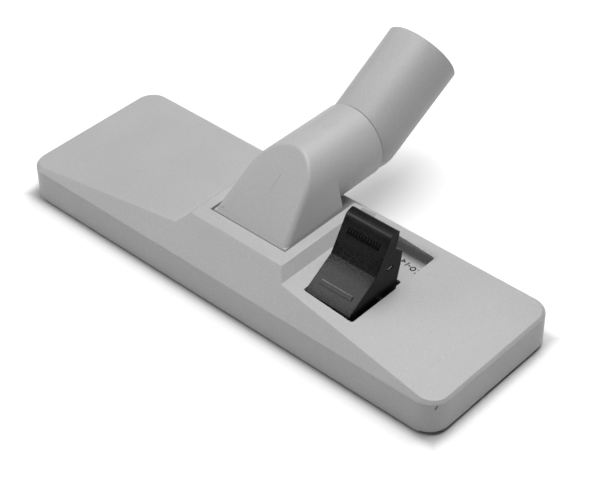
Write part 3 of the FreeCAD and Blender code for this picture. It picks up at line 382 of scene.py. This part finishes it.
def drawn_steel(name, level, roughness):
    """Bright steel with a few small dull patches."""
    material, tree, surface = shader(name, roughness)
    surface.inputs["Metallic"].default_value = 1.0
    patch = noise(tree, PATCH_SCALE, 4, object_place(tree))
    clean = between(tree, patch, 0, 1, *MIDDLE_OF_NOISE)
    colour = mixed(tree, clean, grey(level * PATCH_DARKER), grey(level))
    tree.links.new(colour, surface.inputs["Base Color"])
    dullness = between(tree, patch, roughness + PATCH_ROUGHER, roughness, *MOST_OF_NOISE)
    tree.links.new(dullness, surface.inputs["Roughness"])
    return material


steel_finish = drawn_steel("steel_finish", 0.62, 0.25)
paint(steel_finish, "pedal_pin", "wheel_axle_left", "wheel_axle_right")


# %% [markdown]
# ## How a new piece joins the frame
#
# A piece that CAD leaves plain is modelled here as a mesh of its own. It is made in place, in the
# frame's own metres, so its object stays at the origin and its patterns can't slide. One helper
# turns a finished bmesh into such a piece: it turns all faces outward, hangs the piece on the body
# that moves it, and hides the CAD nodes it stands for.

# %% A helper for new pieces
def as_mesh(form, name):
    """A mesh from a finished bmesh, which is then freed."""
    mesh = bpy.data.meshes.new(name)
    form.to_mesh(mesh)
    form.free()
    return mesh


def piece(name, form, finish, body, covers=(), smooth=0.0):
    """A piece from a bmesh, riding on a body, in place of the CAD nodes that it covers."""
    bmesh.ops.recalc_face_normals(form, faces=form.faces)
    mesh = as_mesh(form, name)
    if smooth:
        mesh.shade_smooth()
        mesh.set_sharp_from_angle(angle=math.radians(smooth))
    made = bpy.data.objects.new(name, mesh)
    bpy.context.scene.collection.objects.link(made)
    mesh.materials.append(finish)
    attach(made, body)
    if covers:
        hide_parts(*covers)
    print(name, "-", len(mesh.polygons), "faces, rides on", body)


# %% Helpers for shapes
JUST_ABOVE = 0.01


def block(form, low, high, turn=None):
    """Adds a box between two corners in millimetres; turn is the local frame it stands in."""
    middle = [(a + b) / 2 * MM for a, b in zip(low, high)]
    size = [(b - a) * MM for a, b in zip(low, high)]
    place = Matrix.Translation(middle) @ Matrix.Diagonal((*size, 1.0))
    return bmesh.ops.create_cube(form, size=1.0, matrix=(turn or Matrix()) @ place)["verts"]


def edges_of(verts, chosen):
    """The edges between the given vertices whose direction and middle the choice accepts."""
    found = {edge for vert in verts for edge in vert.link_edges}
    return [edge for edge in found
            if chosen((edge.verts[1].co - edge.verts[0].co).normalized(),
                      (edge.verts[0].co + edge.verts[1].co) / 2 / MM)]


def rounded(form, edges, radius, segments=4):
    """Bevels edges; the radius is in millimetres."""
    bmesh.ops.bevel(form, geom=edges, offset=radius * MM, affect="EDGES", segments=segments,
                    profile=0.5, material=-1)


def plant(form, mesh, turn, place):
    """Adds a copy of a mesh, turned about Z and set down at a place in millimetres."""
    start = len(form.verts)
    form.from_mesh(mesh)
    form.verts.ensure_lookup_table()
    fresh = form.verts[start:]
    bmesh.ops.rotate(form, verts=fresh, matrix=Matrix.Rotation(turn, 3, "Z"))
    bmesh.ops.translate(form, verts=fresh, vec=[value * MM for value in place])


def node_box(name):
    """The two corners of a CAD node's box, in millimetres."""
    return [[value / MM for value in corner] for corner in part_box(name)]


# %% [markdown]
# ## Bristle rows
#
# Under the head, two rows of bristles come out for hard floors when the pedal is pressed. A real
# row is made of tufts: bundles of stiff nylon hairs pressed into small holes, which spread a
# little towards their tips. A solid strip could never look like that, so one tuft is made of
# three-sided hairs, and the row is that tuft again and again, each turned by its own angle.

# %% One tuft
chance = random.Random(7)
TUFT_TOP = 9.2
TUFT_TIP = 1.25
HAIRS = 11
HAIR_TURN = math.radians(137.5)
HAIR_TIP_RADIUS = 0.10
HAIR_ROOT_RADIUS = 0.16
TIP_SPREAD = 1.02
ROOT_SPREAD = 0.62
LONGEST_TRIM = 0.25


def tuft():
    """Three-sided hairs, close together at the root at the top and spread at the tips."""
    form = bmesh.new()
    length = (TUFT_TOP - TUFT_TIP) * MM
    for hair in range(HAIRS):
        turn = hair * HAIR_TURN
        spread = math.sqrt((hair + 0.5) / HAIRS)
        made = bmesh.ops.create_cone(form, cap_ends=True, segments=3,
                                     radius1=HAIR_TIP_RADIUS * MM, radius2=HAIR_ROOT_RADIUS * MM,
                                     depth=length)["verts"]
        trim = chance.uniform(0.0, LONGEST_TRIM) * MM
        for vert in made:
            tip = vert.co.z < 0
            out = (TIP_SPREAD if tip else ROOT_SPREAD) * spread * MM
            vert.co += Vector((math.cos(turn) * out, math.sin(turn) * out, trim if tip else 0.0))
    middle = (TUFT_TOP + TUFT_TIP) / 2
    bmesh.ops.translate(form, verts=form.verts, vec=(0, 0, middle * MM))
    return as_mesh(form, "one_tuft")


one_tuft = tuft()
print("one tuft has", len(one_tuft.polygons), "faces")

# %% Bristle colour
FIBRE_SCALE = 1800
ALONG_THE_HAIR = 0.1
bristle_finish, tree, surface = shader("bristle_fibre_finish", 0.35)
hair_place = node(tree, "ShaderNodeMapping")
hair_place.inputs["Scale"].default_value = (1.0, 1.0, ALONG_THE_HAIR)
tree.links.new(object_place(tree), hair_place.inputs["Vector"])
fibre_noise = noise(tree, FIBRE_SCALE, 2, hair_place.outputs["Vector"])
streak = between(tree, fibre_noise, 0, 1, *MOST_OF_NOISE)
tree.links.new(mixed(tree, streak, grey(0.012), grey(0.05)), surface.inputs["Base Color"])
print(bristle_finish.name, "has", len(tree.nodes), "nodes")

# %% Two rows of tufts
ROW_LENGTH = 248
TUFT_PITCH = 3.6
LINE_OFFSET = 0.72
ANY_TURN = 6.28


def bristle_row(name, middle):
    """Two staggered lines of tufts along X at one depth in millimetres."""
    form = bmesh.new()
    count = int(ROW_LENGTH / TUFT_PITCH)
    for line, depth in enumerate((middle - LINE_OFFSET, middle + LINE_OFFSET)):
        for index in range(count + 1 - line):
            along = (index - count / 2 + line / 2) * TUFT_PITCH
            plant(form, one_tuft, chance.uniform(0, ANY_TURN), (along, depth, 0.0))
    covered = name.replace("_row", "_bristles")
    piece(name, form, bristle_finish, "carriage", [covered])


bristle_row("front_row", -30.5)
bristle_row("rear_row", 28.0)

# %% [markdown]
# ## Lint strips
#
# Four strips of short slanted pile sit in the sole, in front of and behind the suction slot. They
# let the head glide one way and catch threads and hair the other way. Each strip here is a thin
# cushion with a rounded face, planted all over with short leaning fibres.

# %% Pile colour
PILE_SCALE = 900
pile_finish, tree, surface = shader("lint_pile_finish", 0.85, 0.2)
pile_tone = between(tree, noise(tree, PILE_SCALE, 3, object_place(tree)), 0, 1, *MOST_OF_NOISE)
tree.links.new(mixed(tree, pile_tone, grey(0.03), grey(0.11)), surface.inputs["Base Color"])
surface.inputs["Sheen Weight"].default_value = 0.4
surface.inputs["Sheen Roughness"].default_value = 0.4
print(pile_finish.name, "has", len(tree.nodes), "nodes")

# %% Pile strips
PILE_HEIGHT = 0.3
PILE_ROUNDING = 0.35
PILE_STEP = 0.75
PILE_MARGIN = 0.5
PILE_LEAN = 0.35
FIBRE_LENGTH = 0.5
FIBRE_TIP_RADIUS = 0.02
FIBRE_ROOT_RADIUS = 0.16
FIBRE_SUNK = 0.05
FIBRE_UNEVEN = 0.06
SHIFT_ALONG = 0.3
SHIFT_ACROSS = 0.2


def fibre(form, x, y, tip_height, root_height, lean):
    """One leaning fibre whose root is sunk in the pad above it."""
    hair = bmesh.ops.create_cone(form, segments=3, radius1=FIBRE_TIP_RADIUS * MM,
                                 radius2=FIBRE_ROOT_RADIUS * MM, depth=FIBRE_LENGTH * MM)["verts"]
    for vert in hair:
        tip = vert.co.z < 0
        height = tip_height + chance.uniform(0.0, FIBRE_UNEVEN) if tip else root_height
        vert.co.z = height * MM
        vert.co += Vector((x * MM, (y + (lean if tip else 0.0)) * MM, 0))


def pile_strip(name, lean):
    """A crowned pad with rows of short fibres that all lean along Y."""
    low, high = node_box(name)
    form = bmesh.new()
    base = low[2] + PILE_HEIGHT
    pad = block(form, (low[0], low[1], base), high)
    rims = edges_of(pad, lambda way, middle: middle.z < base + JUST_ABOVE)
    rounded(form, rims, PILE_ROUNDING)
    columns, rows = [int((high[axis] - low[axis] - 2 * PILE_MARGIN) / PILE_STEP)
                     for axis in (0, 1)]
    for column in range(columns + 1):
        for row in range(rows + 1):
            along = low[0] + PILE_MARGIN + column * PILE_STEP
            across = low[1] + PILE_MARGIN + row * PILE_STEP
            along += chance.uniform(-SHIFT_ALONG, SHIFT_ALONG)
            across += chance.uniform(-SHIFT_ACROSS, SHIFT_ACROSS)
            fibre(form, along, across, low[2], base + FIBRE_SUNK, lean)
    made_name = name.replace("lint_strip", "pile_strip")
    piece(made_name, form, pile_finish, "head", [name])


for side in ("left", "right"):
    pile_strip("lint_strip_front_" + side, -PILE_LEAN)
    pile_strip("lint_strip_rear_" + side, PILE_LEAN)

# %% [markdown]
# ## The rubber lip
#
# A soft lip runs under the front wall and seals the head against the floor. It is a long bar with
# a rounded lower edge and rounded ends, so a bevel along those edges is all it needs.

# %% Front lip
LIP_ROUNDING = 0.6
UPRIGHT = 0.9
low, high = node_box("front_lip")
form = bmesh.new()
bar = block(form, low, high)
lower = edges_of(bar, lambda way, middle: middle.z < low[2] + JUST_ABOVE or abs(way.z) > UPRIGHT)
rounded(form, lower, LIP_ROUNDING)
piece("rubber_lip", form, rubber_finish, "head", ["front_lip"], smooth=40)

# %% [markdown]
# ## Screws
#
# Eight self-tapping screws hold the sole plate. Each has a low domed head with a cross recess, and
# a thread that bites into a boss of the housing. A half profile spun once round the axis gives
# head and thread together, and one bar, cut out twice, sinks the two slots of the recess.

# %% One screw
DOME = [(0.0, 0.8), (1.3, 0.86), (2.2, 1.1), (2.75, 1.5), (2.9, 1.85), (2.9, 2.2), (1.2, 2.2)]
POINT = [(0.5, 11.6), (0.0, 12.0)]
CREST, ROOT = 1.45, 1.1
FIRST_CREST, FIRST_ROOT = 2.8, 3.4
THREAD_PITCH = 1.2
THREAD_TURNS = 7
SCREW_SIDES = 20
MERGED = 1e-7


def one_screw():
    """A domed screw with its axis on Z and its head at the bottom."""
    profile = list(DOME)
    for turn in range(THREAD_TURNS):
        down = turn * THREAD_PITCH
        profile += [(CREST, FIRST_CREST + down), (ROOT, FIRST_ROOT + down)]
    profile += POINT
    form = bmesh.new()
    line = [form.verts.new((across * MM, 0, up * MM)) for across, up in profile]
    edges = [form.edges.new(pair) for pair in zip(line, line[1:])]
    bmesh.ops.spin(form, geom=line + edges, cent=(0, 0, 0), axis=(0, 0, 1), angle=math.tau,
                   steps=SCREW_SIDES, use_merge=True)
    bmesh.ops.remove_doubles(form, verts=form.verts, dist=MERGED)
    bmesh.ops.recalc_face_normals(form, faces=form.faces)
    return as_mesh(form, "one_screw")


# %% The recess
SLOT_HALF_LENGTH = 1.6
SLOT_HALF_WIDTH = 0.32
SLOT_BOTTOM = 1.9


def slot_bar():
    """A bar that cuts one slot of the cross, 1.1 mm deep."""
    form = bmesh.new()
    block(form, (-SLOT_HALF_LENGTH, -SLOT_HALF_WIDTH, 0.0),
          (SLOT_HALF_LENGTH, SLOT_HALF_WIDTH, SLOT_BOTTOM))
    return as_mesh(form, "slot_bar")


def cut(mesh, turn):
    """The mesh with one slot cut out, the slot turned by an angle."""
    target = bpy.data.objects.new("screw_to_cut", mesh)
    cutter = bpy.data.objects.new("screw_cutter", slot_bar())
    for made in (target, cutter):
        bpy.context.scene.collection.objects.link(made)
    cutter.rotation_euler.z = turn
    change = target.modifiers.new("recess", "BOOLEAN")
    change.object = cutter
    change.solver = "EXACT"
    bpy.context.view_layer.update()
    changed = target.evaluated_get(bpy.context.evaluated_depsgraph_get())
    result = bpy.data.meshes.new_from_object(changed)
    for made in (target, cutter):
        bpy.data.objects.remove(made)
    return result


recessed_screw = cut(cut(one_screw(), 0.0), math.pi / 2)
print("one screw has", len(recessed_screw.polygons), "faces")

# %% Eight screws
OUTER_SCREW = (134, 36)
INNER_SCREW = (40, 40)
SCREW_TURN = 1.5
form = bmesh.new()
for x, y in (OUTER_SCREW, INNER_SCREW):
    for side in (-1, 1):
        for end in (-1, 1):
            place = (side * x, end * y, 0.0)
            plant(form, recessed_screw, chance.uniform(0, SCREW_TURN), place)
piece("cross_screws", form, steel_finish, "head", ["sole_screws"], smooth=35)

# %% [markdown]
# ## The pedal's spring
#
# A wire spring makes the pedal snap over. It hooks into a slot in the pedal's side, where its
# bright end shows, runs down inside and winds round the pin. Wire is what curves are for: a
# line through a few points with a round bevel, turned into a mesh when it is done.

# %% The wire's route
HOOK = [(77.2, 0.6, 40.9), (77.2, -2.2, 40.7), (76.4, -2.6, 40.8), (72.6, -2.4, 40.8),
        (71.7, -2.0, 40.3), (71.6, -1.8, 39.1), (71.6, -1.8, 23.5)]
LEG = [(74.9, -10.2, 24.5), (74.9, -10.2, 30.0)]
COIL_START = 71.6
COIL_MIDDLE = (-6.0, 22.0)
COIL_RADIUS = 4.2
COIL_PITCH = 1.3
COIL_TURNS = 2.5
COIL_STEPS = 20
wire_points = list(HOOK)
for step in range(int(COIL_TURNS * COIL_STEPS) + 1):
    angle = -step * math.tau / COIL_STEPS
    wire_points.append((COIL_START + step / COIL_STEPS * COIL_PITCH,
                        COIL_MIDDLE[0] + COIL_RADIUS * math.cos(angle),
                        COIL_MIDDLE[1] + COIL_RADIUS * math.sin(angle)))
wire_points += LEG
print("the wire runs through", len(wire_points), "points")

# %% Spring wire
WIRE_RADIUS = 0.5
wire = bpy.data.curves.new("spring_wire", "CURVE")
wire.dimensions = "3D"
wire.bevel_depth = WIRE_RADIUS * MM
wire.bevel_resolution = 2
wire.use_fill_caps = True
line = wire.splines.new("POLY")
line.points.add(len(wire_points) - 1)
for point, place in zip(line.points, wire_points):
    point.co = (*(value * MM for value in place), 1.0)
shaped = bpy.data.objects.new("spring_shape", wire)
form = bmesh.new()
form.from_mesh(bpy.data.meshes.new_from_object(shaped))
bpy.data.objects.remove(shaped)
bmesh.ops.remove_doubles(form, verts=form.verts, dist=MERGED)
piece("spring_wire", form, steel_finish, "pedal", ["toggle_spring"], smooth=50)

# %% [markdown]
# ## The sign on the pedal
#
# The pedal's upper tread has a raised sign that shows a brush: a bar with short bristles above
# it. It is only three tenths of a millimetre high, smoother and darker than the grained tread.
# The sign is built in a small frame of its own that lies on the tread: across, up the tread, and
# out of it.

# %% The tread's frame
across_tread = Vector((1, 0, 0))
tread_foot = Vector((PEDAL_MIDDLE, -11.7, 41.0)) * MM
tread_up = Vector((0.0, 11.7, 19.5)).normalized()
tread_out = across_tread.cross(tread_up)
tread_axes = Matrix((across_tread, tread_up, tread_out)).transposed().to_4x4()
tread_frame = Matrix.Translation(tread_foot) @ tread_axes
print("the upper tread leans by", round(90 - math.degrees(tread_up.angle((0, 1, 0)))), "degrees")

# %% Brush sign
SIGN_RISE = 0.3
SIGN_SUNK = -0.3
SIGN_HALF = 10.5
SIGN_LEVELS = (13.0, 14.3, 14.4, 16.6)
BRISTLES = 12
BRISTLE_PITCH = 1.8
BRISTLE_HALF = 0.35
SIGN_ROUNDING = 0.08
sign_finish = moulded("sign_finish", 0.003, roughness=0.6, specular=0.1, grain=2500, depth=0.01)
bar_foot, bristle_foot, bar_top, bristle_top = SIGN_LEVELS
form = bmesh.new()
block(form, (-SIGN_HALF, bar_foot, SIGN_SUNK), (SIGN_HALF, bar_top, SIGN_RISE), tread_frame)
for bristle in range(BRISTLES):
    across = (bristle - (BRISTLES - 1) / 2) * BRISTLE_PITCH
    block(form, (across - BRISTLE_HALF, bristle_foot, SIGN_SUNK),
          (across + BRISTLE_HALF, bristle_top, SIGN_RISE), tread_frame)
rounded(form, form.edges[:], SIGN_ROUNDING, segments=1)
piece("brush_sign", form, sign_finish, "pedal")

# %% [markdown]
# ## Marks in the pocket
#
# Beside the pedal, the floor of the pocket carries small moulded marks: an arrow, a bar, a ring and
# a hook. They are plain raised strokes, so each one is a thin block on the floor, and the ring is
# ten of them end to end.

# %% A stroke on the pocket's floor
MARK_TURN = math.radians(-13)
MARK_FOOT = Vector((63.5, 27.6, 19.6))
MARK_RISE = 0.12
MARK_SUNK = -0.2
MARK_HALF = 0.3
pocket_frame = Matrix.Translation(MARK_FOOT * MM) @ Matrix.Rotation(MARK_TURN, 4, "Z")


def stroke(form, start, end):
    """A raised straight stroke between two points of the pocket floor, in millimetres."""
    run = Vector(end) - Vector(start)
    turn = Matrix.Rotation(math.atan2(run.y, run.x), 4, "Z")
    place = pocket_frame @ Matrix.Translation(Vector((*start, 0.0)) * MM) @ turn
    block(form, (-MARK_HALF, -MARK_HALF, MARK_SUNK),
          (run.length + MARK_HALF, MARK_HALF, MARK_RISE), place)


# %% Pocket marks
RING_MIDDLE = 8.4
RING_ACROSS, RING_UP = 1.3, 1.5
RING_STROKES = 10
ring = []
for step in range(RING_STROKES):
    angle = step * math.tau / RING_STROKES
    ring.append((RING_MIDDLE + RING_ACROSS * math.cos(angle), RING_UP * math.sin(angle)))
arrow = [(0.0, 0.9), (0.0, -0.9), (1.7, 0.0)]
tall_bar = [(3.6, -1.5), (3.6, 1.5)]
dash = [(4.6, 0.0), (6.0, 0.0)]
hook = [(11.0, 1.5), (13.0, 1.5), (11.6, -1.5)]
form = bmesh.new()
for line in (arrow + arrow[:1], tall_bar, dash, ring + ring[:1], hook):
    for start, end in zip(line, line[1:]):
        stroke(form, start, end)
mark_finish = moulded("mark_finish", 0.02, roughness=0.5)
piece("pocket_marks", form, mark_finish, "head")

# %% [markdown]
# ## The studio
#
# The head stands on a pale floor under three large soft lamps: a strong one above and behind it,
# and two weaker ones, above and at the left front. A floor that gets less light than its colour
# asks for looks grey, so camera rays add a little glow to it, from a few millimetres outside the
# head on: the object's soft shadows stay, and the open floor goes to white.

# %% Floor
FLOOR_LEVEL = 0.85
FLOOR_GLOW = 0.32
GLOSSY_SHARE = 0.35
GLOW_EDGE = 5.0
FLOOR_HALF = 4.0
FLOOR_DROP = 0.1
half_length, half_depth = cad_box[1][0], -cad_box[0][1]


def glow_mask(tree):
    """Where the floor glows: outside the head's outline, for camera rays and weakly in gloss."""
    rays = node(tree, "ShaderNodeLightPath")
    seen = node(tree, "ShaderNodeMath", operation="MAXIMUM")
    tree.links.new(rays.outputs["Is Camera Ray"], seen.inputs[0])
    glossy = between(tree, rays.outputs["Is Glossy Ray"], 0.0, GLOSSY_SHARE)
    tree.links.new(glossy, seen.inputs[1])
    outside = node(tree, "ShaderNodeMath", operation="MAXIMUM")
    for axis, half, socket in zip("XY", (half_length, half_depth), outside.inputs):
        away = away_from(tree, object_place(tree), axis, 0.0)
        tree.links.new(between(tree, away, 0.0, 1.0, half, half + GLOW_EDGE * MM), socket)
    return multiplied(tree, outside.outputs[0], seen.outputs[0])


def studio_floor():
    """A wide floor that looks white to the camera but keeps its shadows."""
    form = bmesh.new()
    just_below = Matrix.Translation((0, 0, -FLOOR_DROP * MM))
    bmesh.ops.create_grid(form, x_segments=1, y_segments=1, size=FLOOR_HALF, matrix=just_below)
    mesh = as_mesh(form, "studio_floor")
    material, tree, surface = shader("floor_white", 0.9, 0.0)
    surface.inputs["Base Color"].default_value = grey(FLOOR_LEVEL)
    surface.inputs["Emission Color"].default_value = grey(1.0)
    glow = between(tree, glow_mask(tree), 0.0, FLOOR_GLOW)
    tree.links.new(glow, surface.inputs["Emission Strength"])
    mesh.materials.append(material)
    floor = bpy.data.objects.new("studio_floor", mesh)
    bpy.context.scene.collection.objects.link(floor)
    print("the floor is", 2 * FLOOR_HALF, "m wide")


studio_floor()

# %% Lights
WORLD_STRENGTH = 0.03
LAMPS = {"overhead": ((0.05, 0.34, 1.15), 0.8, 10.3),
         "overhead_front": ((0.1, -0.1, 1.2), 0.8, 3.3),
         "left_front": ((-0.85, -0.5, 0.7), 0.9, 3.5)}
LIT_PLACE = Vector((0.0, 0.02, 0.03))


def lamp(name, place, size, power):
    """A square soft lamp that points at the head, placed in metres."""
    data = bpy.data.lights.new(name, "AREA")
    data.size = size
    data.energy = power
    made = bpy.data.objects.new(name, data)
    made.location = place
    made.rotation_euler = (LIT_PLACE - Vector(place)).to_track_quat("-Z", "Y").to_euler()
    bpy.context.scene.collection.objects.link(made)
    print(name, "lamp of", power, "W at", place)


world = bpy.data.worlds.new("studio_world")
bpy.context.scene.world = world
world.use_nodes = True
world.node_tree.nodes["Background"].inputs["Color"].default_value = grey(1.0)
world.node_tree.nodes["Background"].inputs["Strength"].default_value = WORLD_STRENGTH
for name, settings in LAMPS.items():
    lamp(name, *settings)

# %% [markdown]
# ## The camera
#
# The camera stands at the front right, 40 degrees above the floor and nearly 0.9 m away. Its lens
# is long, so the head's long edges run almost parallel. Three angles and a distance from the
# point it looks at give its place, and the three directions of its own axes give its turn.

# %% Camera
CAMERA_TURN = math.radians(42.608)
CAMERA_RISE = math.radians(39.87)
CAMERA_ROLL = math.radians(-0.677)
CAMERA_DISTANCE = 0.8858
CAMERA_TARGET = Vector((0.009207, 0.007798, 0.015))
CAMERA_LENS = 100.06
back = Vector((math.sin(CAMERA_TURN) * math.cos(CAMERA_RISE),
               -math.cos(CAMERA_TURN) * math.cos(CAMERA_RISE),
               math.sin(CAMERA_RISE)))
right = Vector((math.cos(CAMERA_TURN), math.sin(CAMERA_TURN), 0.0))
up = back.cross(right)
turned_right = right * math.cos(CAMERA_ROLL) + up * math.sin(CAMERA_ROLL)
turned_up = up * math.cos(CAMERA_ROLL) - right * math.sin(CAMERA_ROLL)
axes = Matrix((turned_right, turned_up, back)).transposed().to_4x4()
camera_data = bpy.data.cameras.new("camera")
camera_data.lens = CAMERA_LENS
camera_data.sensor_width = 36.0
camera_data.clip_start = 0.01
camera = bpy.data.objects.new("camera", camera_data)
camera.matrix_world = Matrix.Translation(CAMERA_TARGET + back * CAMERA_DISTANCE) @ axes
bpy.context.scene.collection.objects.link(camera)
bpy.context.scene.camera = camera
bpy.context.scene.view_settings.view_transform = "Standard"
print("camera at", [round(value, 4) for value in camera.location])
